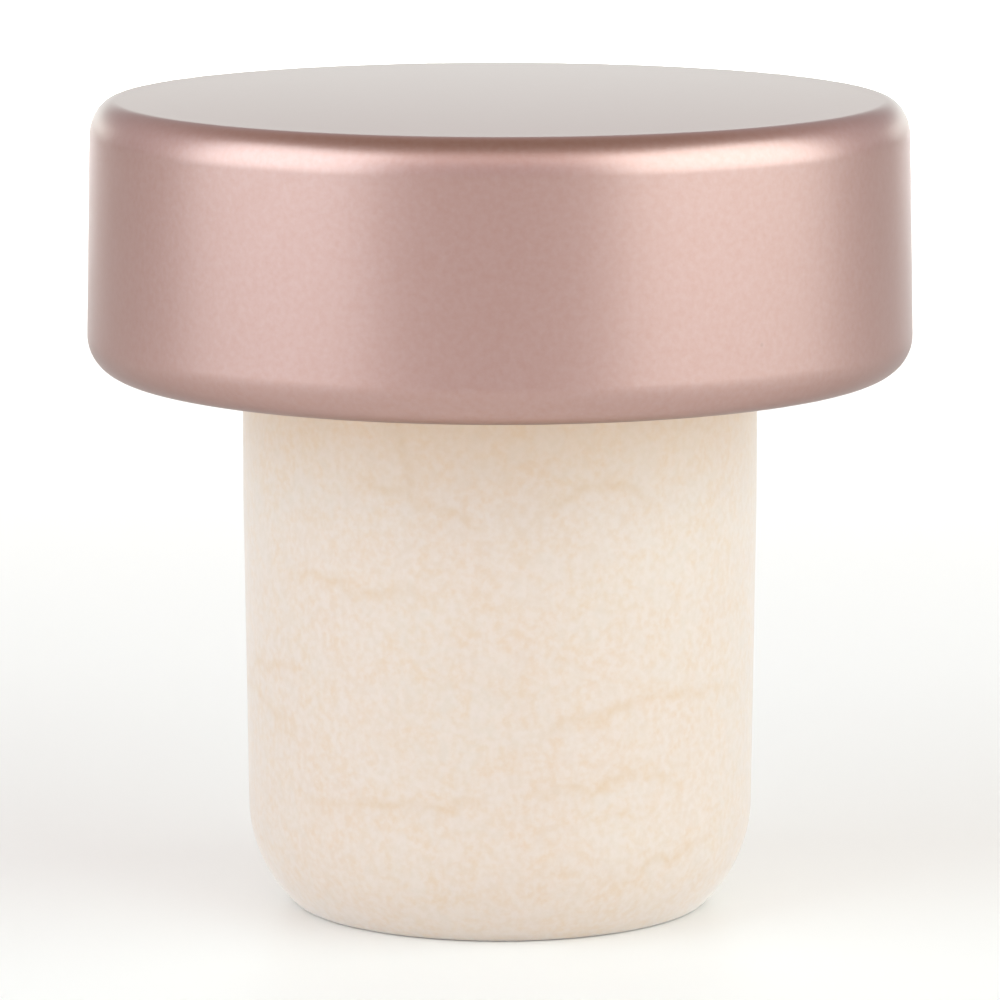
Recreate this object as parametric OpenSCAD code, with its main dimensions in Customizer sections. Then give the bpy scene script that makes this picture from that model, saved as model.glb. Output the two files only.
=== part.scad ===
/* [Cap shell] */
// Width of the cap across its lower edge
cap_d = 32; // [27:0.5:42]
// Height of the cap above the bottle's lip
cap_h = 10.7; // [8:0.1:18]
// How much smaller the cap's radius is where the top edge starts
cap_draft = 0.15; // [0:0.05:0.8]
// Radius of the rounded edge around the top
top_edge_r = 1.2; // [0.8:0.1:2.5]
// Radius of the rolled edge around the bottom
low_edge_r = 1.5; // [0.8:0.1:2.5]
// Thickness of the drawn sheet
shell_t = 0.5; // [0.3:0.05:0.7]
// Flat part of the rolled lip, from the end of the lower edge inwards
lip_reach = 1; // [0.3:0.1:1.5]

/* [Cap insert] */
// Gap that the glue fills between the insert and the shell
glue_gap = 0.1; // [0.05:0.01:0.2]
// Length of the peg below the cap
peg_len = 12; // [8:0.5:16]
// Width of the peg at the foot of each barb
peg_d = 7.2; // [5.6:0.1:7.6]
// Width of the peg across its barbs
barb_d = 8; // [7.6:0.1:10]
// Number of barbs
barb_count = 3; // [1:1:5]
// Plain length of the peg above its barbs
root_len = 3; // [1:0.5:6]

/* [Cork shank] */
// Width of the shank where it seals in the bottle
shank_d = 20; // [17:0.1:22]
// Length of the shank from the cap to its foot
shank_len = 20.9; // [18:0.1:30]
// Straight sealing band below the cap
land_len = 5; // [2:0.5:8]
// How much smaller the shank's radius is where its lead-in starts
shank_draft = 0.15; // [0:0.05:0.6]
// Radius of the lead-in round
lead_r = 5.4; // [4.6:0.1:7]
// Height of the lead-in round above the foot
lead_h = 4; // [2:0.1:4.4]
// Gap that the glue fills between the peg's barbs and the bore
bore_gap = 0.1; // [0.05:0.01:0.3]
// Depth of the glue well below the peg
glue_well = 0.6; // [0.2:0.1:2]

/* [Hidden] */
$fn = 180;

// The foot stands on the ground plane, so the cap starts at the shank's length
seat_z = shank_len;
crown_z = seat_z + cap_h;
cap_r = cap_d / 2;
// The sheet bends around one centre, so its inside radius is what its thickness leaves
top_bend_r = max(top_edge_r - shell_t, 0.1);
low_bend_r = max(low_edge_r - shell_t, 0.1);
lip_r = cap_r - low_edge_r - lip_reach;

insert_top_z = crown_z - shell_t;
insert_low_z = seat_z + shell_t + glue_gap;
floor_r = lip_r - glue_gap;
// The floor and the peg run up into the core as far as the cap's middle
core_mid_z = seat_z + cap_h / 2;
peg_tip_z = seat_z - peg_len;
barb_h = (peg_len - root_len) / barb_count;

bore_r = barb_d / 2 + bore_gap;
bore_depth = peg_len + glue_well;
shank_r = shank_d / 2;
lead_side_r = shank_r - shank_draft;
lead_centre = [lead_side_r - lead_r, lead_h];

// Quarter of a disc that rounds an outline's outer corner, downwards or upwards
module corner(centre, r, up) {
    intersection() {
        translate(centre) circle(r);
        translate([centre.x, up ? centre.y : centre.y - r]) square(r);
    }
}

// Half section of a drum whose side leans from low_side at the bottom to high_side at the top,
// with its outer edges rounded by low_r and high_r
module drum(low_side, high_side, low, high, low_r, high_r) {
    low_centre = [low_side - low_r, low + low_r];
    high_centre = [high_side - high_r, high - high_r];
    polygon([
        [0, low],
        [low_centre.x, low],
        [low_side, low_centre.y],
        [high_side, high_centre.y],
        [high_centre.x, high],
        [0, high]
    ]);
    corner(low_centre, low_r, false);
    corner(high_centre, high_r, true);
}

// Half section of the peg, whose barbs let the cork slide on but not off
module barbed_peg() {
    barbs = [for (i = [0 : barb_count - 1], end = [0, 1])
        [end == 0 ? peg_d / 2 : barb_d / 2, peg_tip_z + (i + end) * barb_h]];
    polygon(concat(
        [[0, peg_tip_z]],
        barbs,
        [[peg_d / 2, seat_z - root_len], [peg_d / 2, core_mid_z], [0, core_mid_z]]
    ));
}

// Deep-drawn cup with its rim rolled in under the insert
module cap_shell() {
    top_r = cap_r - cap_draft;
    color("#b8958d") rotate_extrude() difference() {
        drum(cap_r, top_r, seat_z, crown_z, low_edge_r, top_edge_r);
        drum(cap_r - shell_t, top_r - shell_t, seat_z + shell_t, crown_z - shell_t,
            low_bend_r, top_bend_r);
        translate([0, seat_z - 1]) square([lip_r, low_edge_r + 1]);
    }
}

// Moulded core that fills the shell, closes it from below and carries the cork on a peg
module cap_insert() {
    side = cap_r - shell_t - glue_gap;
    color("#e9e0d0") rotate_extrude() {
        drum(side, side - cap_draft, insert_low_z, insert_top_z, low_bend_r, top_bend_r);
        translate([0, seat_z]) square([floor_r, core_mid_z - seat_z]);
        barbed_peg();
    }
}

// Moulded cork with a rounded lead-in at its foot, bored from above for the peg
module cork_shank() {
    color("#ecdfcc") difference() {
        rotate_extrude() {
            polygon([
                [0, 0],
                [lead_centre.x, 0],
                [lead_centre.x, lead_h],
                [lead_side_r, lead_h],
                [shank_r, shank_len - land_len],
                [shank_r, shank_len],
                [0, shank_len]
            ]);
            intersection() {
                translate(lead_centre) circle(lead_r);
                translate([lead_centre.x, 0]) square([lead_r, lead_h]);
            }
        }
        translate([0, 0, shank_len - bore_depth]) cylinder(h = bore_depth + 1, r = bore_r);
    }
}

cap_shell();
cap_insert();
cork_shank();
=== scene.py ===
import math
import random

import bmesh
import bpy
import numpy as np
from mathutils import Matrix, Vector


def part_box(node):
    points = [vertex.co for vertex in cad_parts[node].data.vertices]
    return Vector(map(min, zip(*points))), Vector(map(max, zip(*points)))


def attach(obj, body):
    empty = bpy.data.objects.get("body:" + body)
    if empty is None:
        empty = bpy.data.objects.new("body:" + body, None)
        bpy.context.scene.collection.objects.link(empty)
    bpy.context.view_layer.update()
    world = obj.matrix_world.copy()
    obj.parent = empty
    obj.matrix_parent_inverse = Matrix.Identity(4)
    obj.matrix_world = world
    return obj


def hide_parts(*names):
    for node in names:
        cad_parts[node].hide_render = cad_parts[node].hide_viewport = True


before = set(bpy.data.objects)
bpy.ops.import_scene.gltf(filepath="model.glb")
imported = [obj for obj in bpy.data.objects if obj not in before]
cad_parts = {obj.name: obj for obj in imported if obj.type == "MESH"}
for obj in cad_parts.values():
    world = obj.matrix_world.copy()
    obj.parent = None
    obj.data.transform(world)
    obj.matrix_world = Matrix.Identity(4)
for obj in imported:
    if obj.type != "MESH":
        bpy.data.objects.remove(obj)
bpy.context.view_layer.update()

# Camera
# A long lens a little above the cap's top, aimed at the stopper's middle, as in the photograph.
# Its distance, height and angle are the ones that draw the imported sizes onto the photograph's outline.
mm = 0.001
aim = Vector((0, 0, 15.752 * mm))
camera_distance = 243.84 * mm
camera_rise = math.radians(9.228)

camera = bpy.data.objects.new("camera", bpy.data.cameras.new("camera"))
camera.data.lens = 225.0
camera.data.sensor_width = 36.0
camera.data.clip_start = 10 * mm
camera.data.clip_end = 20.0
look_back = Vector((0, -math.cos(camera_rise), math.sin(camera_rise)))
camera.location = aim + camera_distance * look_back
camera.rotation_euler = (-look_back).to_track_quat("-Z", "Y").to_euler()
bpy.context.collection.objects.link(camera)
bpy.context.scene.camera = camera

# Cap shell
# A cup drawn from thin aluminium sheet, with a barely crowned top and its rim rolled in under the cap to a
# flat lip. It is bead-blasted to an even satin, dyed rose in the anodising bath, sealed, and glued over
# the insert.
cap_low, cap_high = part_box("cap_shell")
seat_z = cap_low.z
crown_z = cap_high.z
cap_r = cap_high.x
cap_draft = 0.15 * mm
top_edge_wide = 1.05 * mm
top_edge_tall = 1.45 * mm
crown_rise = 0.1 * mm
low_edge_r = 1.5 * mm
sheet_t = 0.5 * mm
lip_reach = 1.0 * mm
lip_round_r = 0.1 * mm
# Rings this close to the ends of each flat keep its shading flat
edge_margin = 0.05 * mm
turn_steps = 360
crown_rings = 12
top_edge_steps = 32
low_edge_steps = 24
inner_edge_steps = 12
lip_round_steps = 5


def bend(centre, wide, tall, start, end, steps):
    """Points on part of an oval in the half section, with its angles in degrees from straight outwards."""
    turns = [math.radians(start + (end - start) * i / steps) for i in range(steps + 1)]
    return [(centre[0] + wide * math.cos(a), centre[1] + tall * math.sin(a)) for a in turns]


def arc(centre, radius, start, end, steps):
    """Points on a round arc in the half section."""
    return bend(centre, radius, radius, start, end, steps)


def between(start, end, distance):
    """The point that lies this far along the line from start to end."""
    share = distance / math.dist(start, end)
    return (start[0] + share * (end[0] - start[0]), start[1] + share * (end[1] - start[1]))


def turned(name, outline, steps):
    """Turns a half section, which starts and ends on the axis, into a closed smooth mesh."""
    bm = bmesh.new()
    first = bm.verts.new((0, 0, outline[0][1]))
    last = bm.verts.new((0, 0, outline[-1][1]))
    angles = [2 * math.pi * i / steps for i in range(steps)]
    rings = []
    for radius, height in outline[1:-1]:
        rings.append([bm.verts.new((radius * math.cos(a), radius * math.sin(a), height)) for a in angles])
    for i in range(steps):
        j = (i + 1) % steps
        bm.faces.new((first, rings[0][i], rings[0][j]))
        bm.faces.new((last, rings[-1][j], rings[-1][i]))
        for upper, lower in zip(rings, rings[1:]):
            bm.faces.new((upper[i], lower[i], lower[j], upper[j]))
    bmesh.ops.recalc_face_normals(bm, faces=bm.faces)
    mesh = bpy.data.meshes.new(name)
    bm.to_mesh(mesh)
    bm.free()
    mesh.shade_smooth()
    piece = bpy.data.objects.new(name, mesh)
    bpy.context.collection.objects.link(piece)
    return piece


cap_lean = math.atan(cap_draft / (crown_z - seat_z - top_edge_tall - low_edge_r))
lean_degrees = math.degrees(cap_lean)
low_centre = (cap_r - low_edge_r, seat_z + low_edge_r)
top_centre = (cap_r - cap_draft - top_edge_wide, crown_z - crown_rise - top_edge_tall)
top_side = (top_centre[0] + top_edge_wide * math.cos(cap_lean),
            top_centre[1] + top_edge_tall * math.sin(cap_lean))
low_side = (low_centre[0] + low_edge_r * math.cos(cap_lean),
            low_centre[1] + low_edge_r * math.sin(cap_lean))
lip_r = low_centre[0] - lip_reach
lip_low_centre = (lip_r + lip_round_r, seat_z + lip_round_r)
lip_high_centre = (lip_r + lip_round_r, seat_z + sheet_t - lip_round_r)
inner_top_centre = (top_centre[0], crown_z - top_edge_tall)
flat_r = top_centre[0] - edge_margin
shares = [i / crown_rings for i in range(crown_rings + 1)]
outside = [(flat_r * share, crown_z - crown_rise * share ** 2) for share in shares]
outside += bend(top_centre, top_edge_wide, top_edge_tall, 90, lean_degrees, top_edge_steps)
outside += [between(top_side, low_side, edge_margin), between(low_side, top_side, edge_margin)]
outside += arc(low_centre, low_edge_r, lean_degrees, -90, low_edge_steps)
outside += [(low_centre[0] - edge_margin, seat_z), (lip_low_centre[0] + edge_margin, seat_z)]
inside = arc(lip_low_centre, lip_round_r, -90, -180, lip_round_steps)
inside += arc(lip_high_centre, lip_round_r, -180, -270, lip_round_steps)
inside += arc(low_centre, low_edge_r - sheet_t, -90, lean_degrees, inner_edge_steps)
inside += bend(inner_top_centre, top_edge_wide - sheet_t, top_edge_tall - sheet_t, lean_degrees, 90,
               inner_edge_steps)
inside += [(0, crown_z - sheet_t)]
cap_shell = turned("cap_shell_drawn", outside + inside, turn_steps)


def linear(code):
    """An sRGB hex colour as the linear values that a shader takes."""
    parts = [int(code[i:i + 2], 16) / 255 for i in (1, 3, 5)]
    return (*[c / 12.92 if c <= 0.04045 else ((c + 0.055) / 1.055) ** 2.4 for c in parts], 1)


def add_node(tree, kind, sockets=None, **settings):
    """Adds a shader node with its settings. Each socket takes a value, or the output of another node."""
    node = tree.nodes.new("ShaderNode" + kind)
    for name, value in settings.items():
        setattr(node, name, value)
    for name, value in (sockets or {}).items():
        if isinstance(value, bpy.types.NodeSocket):
            tree.links.new(value, node.inputs[name])
        else:
            node.inputs[name].default_value = value
    return node


def new_material(name):
    """An empty node material, with its tree, its output and the place on the piece, in metres."""
    material = bpy.data.materials.new(name)
    material.use_nodes = True
    tree = material.node_tree
    tree.nodes.clear()
    output = add_node(tree, "OutputMaterial")
    place = add_node(tree, "TexCoord").outputs["Object"]
    return material, tree, output, place


def cells(size_mm):
    """Noise scale that gives features of this size."""
    return 1 / (size_mm * mm)


# Anodised aluminium, bead-blasted: a metal under a clear oxide film that holds the dye. The blasting
# spreads reflections into soft bands and dims them where the cap is seen edge-on, and the film's white
# sheen greys the rose. The dye's mottling is finer on a real cap, and is drawn as coarse as it needs to
# show. Each speck of dust and each scuff is x, y, z and radius in mm.
rose_deep = "#b69085"
rose_pale = "#bfa09b"
dust_grey = "#8d7770"
scuff_pale = "#cdb6ae"
edge_on_grey = "#c4c4c4"
blast_grain_mm = 0.09
blast_depth = 0.0016 * mm
dye_mottle_mm = 0.24
dust = [(-8.3, 6.7, 31.6, 0.16), (9.6, -12.7, 23.6, 0.11)]
scuffs = [(4.45, -14.4, 21.0, 0.1), (4.7, -14.35, 21.0, 0.08), (5.05, -14.2, 21.0, 0.1)]
mark_cover = 0.6
metal, tree, output, place = new_material("anodised_aluminium_blasted")
grain = add_node(tree, "TexNoise", {"Vector": place, "Scale": cells(blast_grain_mm), "Detail": 1.0})
dye = add_node(tree, "TexNoise", {"Vector": place, "Scale": cells(dye_mottle_mm), "Detail": 3.0})
rose = add_node(tree, "Mix", {
    "Factor": dye.outputs["Fac"], "A": linear(rose_deep), "B": linear(rose_pale),
}, data_type="RGBA")
for marks, tone in ((dust, dust_grey), (scuffs, scuff_pale)):
    for x, y, z, radius in marks:
        away = add_node(tree, "VectorMath", {0: place, 1: (x * mm, y * mm, z * mm)}, operation="DISTANCE")
        cover = add_node(tree, "MapRange", {
            "Value": away.outputs["Value"], "From Min": radius * mm, "From Max": 0, "To Max": mark_cover,
        })
        rose = add_node(tree, "Mix", {
            "Factor": cover.outputs["Result"], "A": rose.outputs["Result"], "B": linear(tone),
        }, data_type="RGBA")
blast = add_node(tree, "Bump", {"Height": grain.outputs["Fac"], "Distance": blast_depth})
satin = add_node(tree, "MapRange", {
    "Value": dye.outputs["Fac"], "From Min": 0.3, "From Max": 0.7, "To Min": 0.34, "To Max": 0.36,
})
skin = add_node(tree, "BsdfPrincipled", {
    "Base Color": rose.outputs["Result"],
    "Metallic": 1.0,
    "Roughness": satin.outputs["Result"],
    "Specular Tint": linear(edge_on_grey),
    "Coat Weight": 0.4,
    "Coat Roughness": 0.28,
    "Coat IOR": 1.6,
    "Normal": blast.outputs["Normal"],
})
tree.links.new(skin.outputs["BSDF"], output.inputs["Surface"])
cap_shell.data.materials.append(metal)
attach(cap_shell, "root")
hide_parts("cap_shell")

# Cap insert
# The moulded ABS core that fills the shell and carries the cork on its barbed peg. It is glued in.
# Only its floor shows, as a narrow ring between the shell's lip and the cork.
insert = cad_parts["cap_insert"]

# ABS, moulded in a finely eroded tool: an even ivory with a soft low shine and a grain like matt paper.
ivory_deep = "#e6dccb"
ivory_pale = "#ece3d4"
erosion_mm = 0.12
erosion_depth = 0.003 * mm
flow_mm = 4.0
plastic, tree, output, place = new_material("abs_moulded")
eroded = add_node(tree, "TexNoise", {"Vector": place, "Scale": cells(erosion_mm), "Detail": 2.0})
flow = add_node(tree, "TexNoise", {"Vector": place, "Scale": cells(flow_mm), "Detail": 2.0})
ivory = add_node(tree, "Mix", {
    "Factor": flow.outputs["Fac"], "A": linear(ivory_deep), "B": linear(ivory_pale),
}, data_type="RGBA")
shine = add_node(tree, "MapRange", {"Value": eroded.outputs["Fac"], "To Min": 0.42, "To Max": 0.55})
pits = add_node(tree, "Bump", {"Height": eroded.outputs["Fac"], "Distance": erosion_depth})
skin = add_node(tree, "BsdfPrincipled", {
    "Base Color": ivory.outputs["Result"],
    "Roughness": shine.outputs["Result"],
    "IOR": 1.54,
    "Normal": pits.outputs["Normal"],
})
tree.links.new(skin.outputs["BSDF"], output.inputs["Surface"])
insert.data.materials.clear()
insert.data.materials.append(plastic)

# Cork shank
# One moulding in foamed thermoplastic elastomer, cream with faint tan veins like natural cork.
# It is bored from above and glued onto the insert's peg, and its foot has a rounded lead-in.
_, cork_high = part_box("cork_shank")
shank_r = cork_high.x
shank_top = cork_high.z
land_len = 5.0 * mm
shank_draft = 0.15 * mm
lead_r = 5.4 * mm
lead_h = 4.0 * mm
foot_edge_r = 0.35 * mm
shoulder_r = 0.12 * mm
bore_r = 4.1 * mm
bore_depth = 12.6 * mm
skin_step = 0.13 * mm
skin_turns = 470
shoulder_steps = 5
lead_steps = 52
foot_edge_steps = 6
foot_rings = 12


def spaced(points, step):
    """The same outline, with points put in so that none lie further apart than the step."""
    out = [points[0]]
    for (r0, z0), (r1, z1) in zip(points, points[1:]):
        count = max(1, math.ceil(math.hypot(r1 - r0, z1 - z0) / step))
        out += [(r0 + (r1 - r0) * i / count, z0 + (z1 - z0) * i / count) for i in range(1, count + 1)]
    return out


lead_centre = (shank_r - shank_draft - lead_r, lead_h)
edge_centre = (lead_centre[0] + math.sqrt((lead_r - foot_edge_r) ** 2 - (lead_h - foot_edge_r) ** 2),
               foot_edge_r)
edge_turn = math.degrees(math.atan2(edge_centre[1] - lead_h, edge_centre[0] - lead_centre[0]))
shoulder_centre = (shank_r - shoulder_r, shank_top - shoulder_r)
bore_floor = shank_top - bore_depth
skin_line = arc(shoulder_centre, shoulder_r, 90, 0, shoulder_steps)
skin_line += [(shank_r, shank_top - land_len)]
skin_line += arc(lead_centre, lead_r, 0, edge_turn, lead_steps)
skin_line += arc(edge_centre, foot_edge_r, edge_turn, -90, foot_edge_steps)[1:]
outline = [(0, bore_floor), (bore_r, bore_floor), (bore_r, shank_top)]
outline += spaced(skin_line, skin_step)
outline += [(edge_centre[0] * i / foot_rings, 0) for i in range(foot_rings - 1, -1, -1)]
cork = turned("cork_shank_moulded", outline, skin_turns)

# Veins, each a chain of points: degrees round the shank from its front, and mm above its foot. The front
# ones lie where the photograph shows them. Those behind, and the fine hairs, are scattered alike.
front_veins = [
    [(-20, 24.0), (-20, 21.0), (-20, 18.4), (-19.5, 17.4), (-13, 17.0), (-8, 16.7), (-3.5, 16.0)],
    [(-34, 17.6), (-29, 17.8), (-23.5, 17.6), (-19.5, 17.4)],
    [(6.5, 16.3), (12, 17.2), (17, 17.7), (23.5, 17.8), (30, 17.6), (36, 16.9)],
    [(-55.5, 13.5), (-50, 13.7), (-36.5, 14.0), (-34.5, 13.5), (-28.5, 13.6), (-21.5, 13.8), (-15.5, 13.4)],
    [(10, 8.3), (16.5, 8.9), (23.5, 8.9), (30, 9.4), (50, 9.3), (65.5, 9.0)],
    [(-50.5, 5.5), (-40.5, 5.4), (-27, 5.5), (-15.5, 5.6), (-6.5, 5.9), (-4, 5.7)],
    [(6.5, 6.3), (10.5, 6.0), (20, 6.0), (28.5, 6.6), (37.5, 6.4), (47, 5.8)],
    [(30.5, 2.8), (36.5, 3.1), (47, 3.4), (58.5, 3.9)],
]
vein_width = 0.19 * mm
vein_depth = 0.008 * mm
vein_strength = 1.0
back_vein_count = 16
back_vein_start = 75
back_vein_sweep = 210
back_vein_heights = (1.5, 19.5)
back_vein_links = (2, 5)
back_vein_stride = 11
hair_width = 0.12 * mm
hair_count = 70
hair_heights = (0.5, 20)
hair_links = (2, 4)
hair_strides = (3, 6)
hair_strengths = (0.2, 0.5)
stride_shares = (0.5, 1.3)
climb_per_degree = 0.08
tear_share = 0.2
dice = random.Random(7)


def straying(angle, height, links, stride):
    """A chain that starts at this place and wanders round the shank."""
    chain = [(angle, height)]
    for _ in range(links):
        angle += dice.uniform(*stride_shares) * stride
        height += dice.uniform(-climb_per_degree, climb_per_degree) * abs(stride)
        chain.append((angle, height))
    return chain


def torn(chain):
    """The chain as places in metres, with each link's middle pushed aside twice over, like a tear."""
    places = [(math.radians(angle) * shank_r, height * mm) for angle, height in chain]
    for _ in range(2):
        finer = places[:1]
        for (x0, z0), (x1, z1) in zip(places, places[1:]):
            push = dice.uniform(-tear_share, tear_share)
            finer += [((x0 + x1) / 2 - push * (z1 - z0), (z0 + z1) / 2 + push * (x1 - x0)), (x1, z1)]
        places = finer
    return places


lines = [(torn(chain), vein_width, vein_strength) for chain in front_veins]
for i in range(back_vein_count):
    angle = back_vein_start + back_vein_sweep * (i + dice.random()) / back_vein_count
    height = dice.uniform(*back_vein_heights)
    chain = straying(angle, height, dice.randint(*back_vein_links), back_vein_stride)
    lines.append((torn(chain), vein_width, vein_strength))
for _ in range(hair_count):
    stride = dice.choice((-1, 1)) * dice.uniform(*hair_strides)
    hair = straying(dice.uniform(0, 360), dice.uniform(*hair_heights), dice.randint(*hair_links), stride)
    lines.append((torn(hair), hair_width, dice.uniform(*hair_strengths)))

# Each point of the skin takes the strongest vein that reaches it, and sinks a little under it
count = len(cork.data.vertices)
spots = np.zeros(count * 3)
cork.data.vertices.foreach_get("co", spots)
spots = spots.reshape(-1, 3)
reach = np.hypot(spots[:, 0], spots[:, 1])
around = np.arctan2(spots[:, 0], -spots[:, 1]) * shank_r
up = spots[:, 2]
lap = 2 * math.pi * shank_r
vein = np.zeros(count)
fade_widths = 3
for places, width, strength in lines:
    for i, ((x0, z0), (x1, z1)) in enumerate(zip(places, places[1:])):
        fade = math.sqrt(math.sin(math.pi * (i + 0.5) / (len(places) - 1)))
        near = np.flatnonzero(np.abs(up - (z0 + z1) / 2) < abs(z1 - z0) / 2 + fade_widths * width)
        x = (around[near] - x0 + lap / 2) % lap - lap / 2
        z = up[near] - z0
        along = np.clip((x * (x1 - x0) + z * (z1 - z0)) / ((x1 - x0) ** 2 + (z1 - z0) ** 2), 0, 1)
        gap = np.hypot(x - along * (x1 - x0), z - along * (z1 - z0))
        vein[near] = np.maximum(vein[near], fade * strength * np.exp(-(gap / width) ** 2))
vein[reach < bore_r + edge_margin] = 0
skin_only = (reach > edge_centre[0] - edge_margin) & (up < shank_top - edge_margin)
sink = np.where(skin_only, vein * vein_depth, 0) / np.maximum(reach, bore_r)
spots[:, 0] -= spots[:, 0] * sink
spots[:, 1] -= spots[:, 1] * sink
cork.data.vertices.foreach_set("co", spots.ravel())
marks = cork.data.attributes.new("vein", "FLOAT", "POINT")
marks.data.foreach_set("value", vein.astype(np.float32))

# Foamed elastomer, moulded against a smooth steel wall: matt with a pale bloom, a little translucent,
# clouded in cream and peach where the foam's cells closed at the skin. Near the cap it turns tanner, a
# painted warm reflection and shade from the rose cap above. The cells are drawn as coarse as the photograph
# can show them.
cream_warm = "#d6c0ab"
cream_cool = "#d5c6b9"
peach = "#d7beac"
cell_pale = "#dacbc1"
# Painted warm reflection and shade from the rose cap, over the top of the shank
painted_cap_glow_tan = "#efc9a4"
vein_tan = "#cdac85"
cell_mm = 0.28
cell_depth = 0.004 * mm
cloud_mm = 0.8
patch_mm = 4.0
break_mm = 0.5
painted_glow_reach = 4.0 * mm
foam, tree, output, place = new_material("elastomer_foam_moulded")
cell = add_node(tree, "TexNoise", {"Vector": place, "Scale": cells(cell_mm), "Detail": 3.0})
cloud = add_node(tree, "TexNoise", {
    "Vector": place, "Scale": cells(cloud_mm), "Detail": 2.0, "Distortion": 0.5,
})
patch = add_node(tree, "TexNoise", {"Vector": place, "Scale": cells(patch_mm), "Detail": 1.0})
breaks = add_node(tree, "TexNoise", {"Vector": place, "Scale": cells(break_mm), "Detail": 2.0})
height = add_node(tree, "SeparateXYZ", {"Vector": place})
# Each layer: its pattern, the values that it comes in between, its strongest share and its colour
layers = [
    (cloud.outputs["Fac"], 0.35, 0.65, 1.0, cream_cool),
    (patch.outputs["Fac"], 0.35, 0.7, 0.35, peach),
    (cell.outputs["Fac"], 0.35, 0.65, 0.8, cell_pale),
    # The last layer is painted reflection and shade from the cap, growing towards the shank's top
    (height.outputs["Z"], shank_top - painted_glow_reach, shank_top, 0.3, painted_cap_glow_tan),
]
colour = linear(cream_warm)
for pattern, low, high, most, tone in layers:
    share = add_node(tree, "MapRange", {
        "Value": pattern, "From Min": low, "From Max": high, "To Max": most,
    })
    layer = add_node(tree, "Mix", {
        "Factor": share.outputs["Result"], "A": colour, "B": linear(tone),
    }, data_type="RGBA")
    colour = layer.outputs["Result"]
drawn = add_node(tree, "Attribute", attribute_name="vein")
broken = add_node(tree, "MapRange", {
    "Value": breaks.outputs["Fac"], "From Min": 0.38, "From Max": 0.62, "To Min": 0.19, "To Max": 0.4,
})
stain = add_node(tree, "Math", {0: drawn.outputs["Fac"], 1: broken.outputs["Result"]}, operation="MULTIPLY")
veined = add_node(tree, "Mix", {
    "Factor": stain.outputs["Value"], "A": colour, "B": linear(vein_tan),
}, data_type="RGBA")
matt = add_node(tree, "MapRange", {
    "Value": cloud.outputs["Fac"], "From Min": 0.3, "From Max": 0.7, "To Min": 0.4, "To Max": 0.5,
})
dimple = add_node(tree, "Bump", {"Height": cell.outputs["Fac"], "Distance": cell_depth})
skin = add_node(tree, "BsdfPrincipled", {
    "Base Color": veined.outputs["Result"],
    "Roughness": matt.outputs["Result"],
    "IOR": 1.5,
    "Subsurface Weight": 0.15,
    "Subsurface Radius": (1.0, 0.7, 0.45),
    "Subsurface Scale": 0.8 * mm,
    "Sheen Weight": 0.6,
    "Sheen Roughness": 0.4,
    "Normal": dimple.outputs["Normal"],
})
tree.links.new(skin.outputs["BSDF"], output.inputs["Surface"])
cork.data.materials.append(foam)
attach(cork, "root")
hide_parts("cork_shank")

# Studio
# A wide sheet of satin white acrylic, with a soft box on each side, a long low one behind, and a dim one
# above the camera. A gridded light hangs over the sheet behind the stopper, and the air grows dimmer and
# warmer overhead.
floor_half = 3.0
floor_gap = 0.01 * mm
floor_squares = 8
floor_mesh = bpy.data.meshes.new("floor")
bm = bmesh.new()
bmesh.ops.create_grid(bm, x_segments=floor_squares, y_segments=floor_squares, size=floor_half)
bm.to_mesh(floor_mesh)
bm.free()
floor = bpy.data.objects.new("floor", floor_mesh)
floor.location.z = -floor_gap
bpy.context.collection.objects.link(floor)

# Acrylic, cast and given a satin face: an even white that softens what it mirrors.
white_deep = "#f7f7f6"
white_pale = "#f8f8f7"
casting_mm = 40.0
acrylic, tree, output, place = new_material("acrylic_white_satin")
casting = add_node(tree, "TexNoise", {"Vector": place, "Scale": cells(casting_mm), "Detail": 2.0})
white = add_node(tree, "Mix", {
    "Factor": casting.outputs["Fac"], "A": linear(white_deep), "B": linear(white_pale),
}, data_type="RGBA")
skin = add_node(tree, "BsdfPrincipled", {"Base Color": white.outputs["Result"], "Roughness": 0.5})
tree.links.new(skin.outputs["BSDF"], output.inputs["Surface"])
floor.data.materials.append(acrylic)


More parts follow.
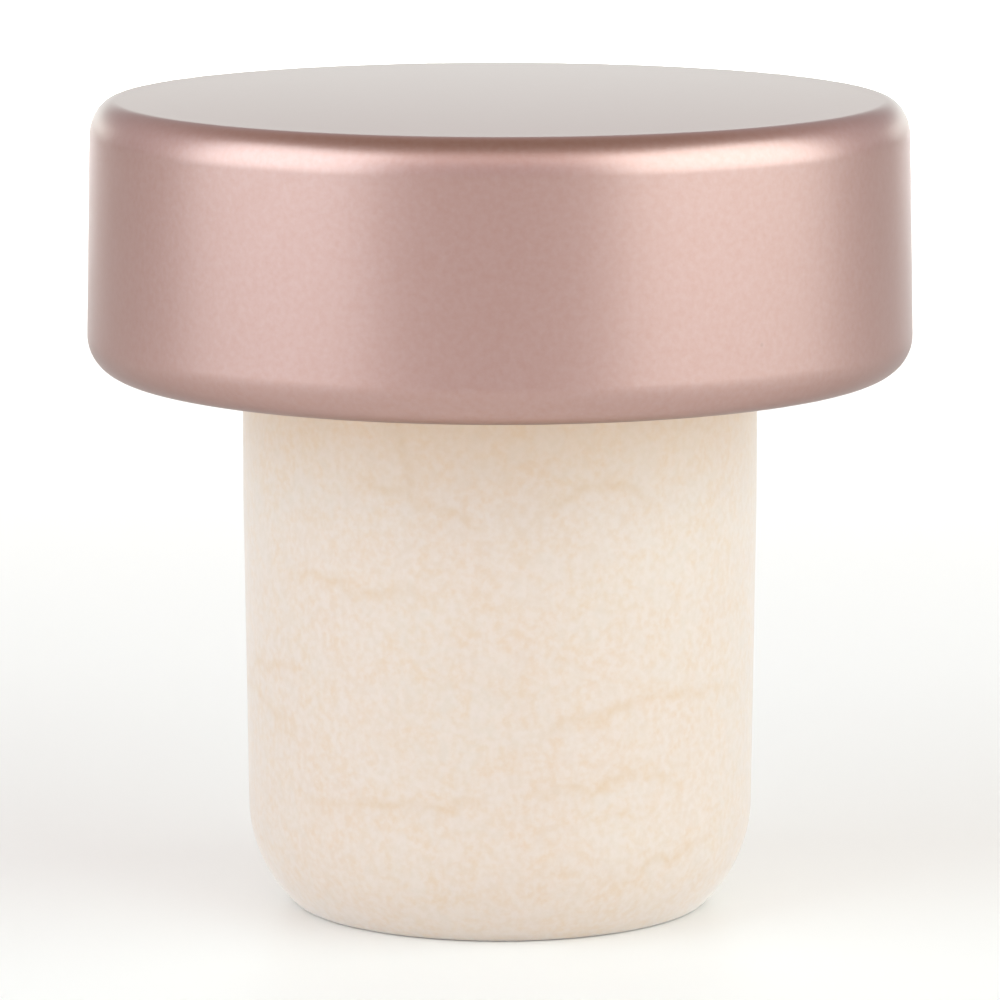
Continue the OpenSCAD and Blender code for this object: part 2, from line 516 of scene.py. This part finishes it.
def soft_box(name, bearing, distance, height, width, tall, tip, radiance, colour):
    """A rectangular light that faces the stopper's axis. Its bearing, round from the camera's side, and its
    tip downwards are in degrees."""
    light = bpy.data.lights.new(name, "AREA")
    light.shape = "RECTANGLE"
    light.size = width
    light.size_y = tall
    light.energy = radiance * math.pi * width * tall
    light.color = linear(colour)[:3]
    turn = math.radians(bearing)
    lamp = bpy.data.objects.new(name, light)
    lamp.location = (distance * math.sin(turn), -distance * math.cos(turn), height)
    lamp.rotation_euler = (math.radians(90 - tip), 0, turn)
    bpy.context.collection.objects.link(lamp)
    return lamp


soft_box("soft_box_left", bearing=-64, distance=0.33, height=0.20, width=0.366, tall=0.36, tip=0,
         radiance=2.2, colour="#e0f8ff")
soft_box("soft_box_right", bearing=66.5, distance=0.33, height=0.20, width=0.454, tall=0.36, tip=0,
         radiance=2.25, colour="#e8ffff")
soft_box("soft_box_back", bearing=180, distance=1.1, height=0.12, width=1.69, tall=0.24, tip=0,
         radiance=1.88, colour="#eafff9")
soft_box("soft_box_front", bearing=0, distance=0.45, height=0.43, width=0.80, tall=0.30, tip=42,
         radiance=0.49, colour="#ffffff")
background_light = soft_box("background_light", bearing=180, distance=0.55, height=0.5, width=0.30,
                            tall=0.30, tip=79, radiance=6.9, colour="#fdffff")
grid_spread = math.radians(50)
background_light.data.spread = grid_spread

air_white = "#fff7fa"
air_warm = "#ffe5d2"
air_level = 0.82
overhead_level = 0.43
# The air changes between these rises of view, from 0 at the horizon to 1 straight up
dims_from = 0.5
dims_to = 0.95
world = bpy.data.worlds.new("studio_air")
world.use_nodes = True
tree = world.node_tree
air = tree.nodes["Background"]
sky = add_node(tree, "TexCoord")
rise = add_node(tree, "SeparateXYZ", {"Vector": sky.outputs["Generated"]})
warmth = add_node(tree, "MapRange", {
    "Value": rise.outputs["Z"], "From Min": dims_from, "From Max": dims_to,
})
tint = add_node(tree, "Mix", {
    "Factor": warmth.outputs["Result"], "A": linear(air_white), "B": linear(air_warm),
}, data_type="RGBA")
level = add_node(tree, "MapRange", {
    "Value": rise.outputs["Z"], "From Min": dims_from, "From Max": dims_to,
    "To Min": air_level, "To Max": overhead_level,
})
tree.links.new(tint.outputs["Result"], air.inputs["Color"])
tree.links.new(level.outputs["Result"], air.inputs["Strength"])
bpy.context.scene.world = world
bpy.context.scene.view_settings.view_transform = "Standard"
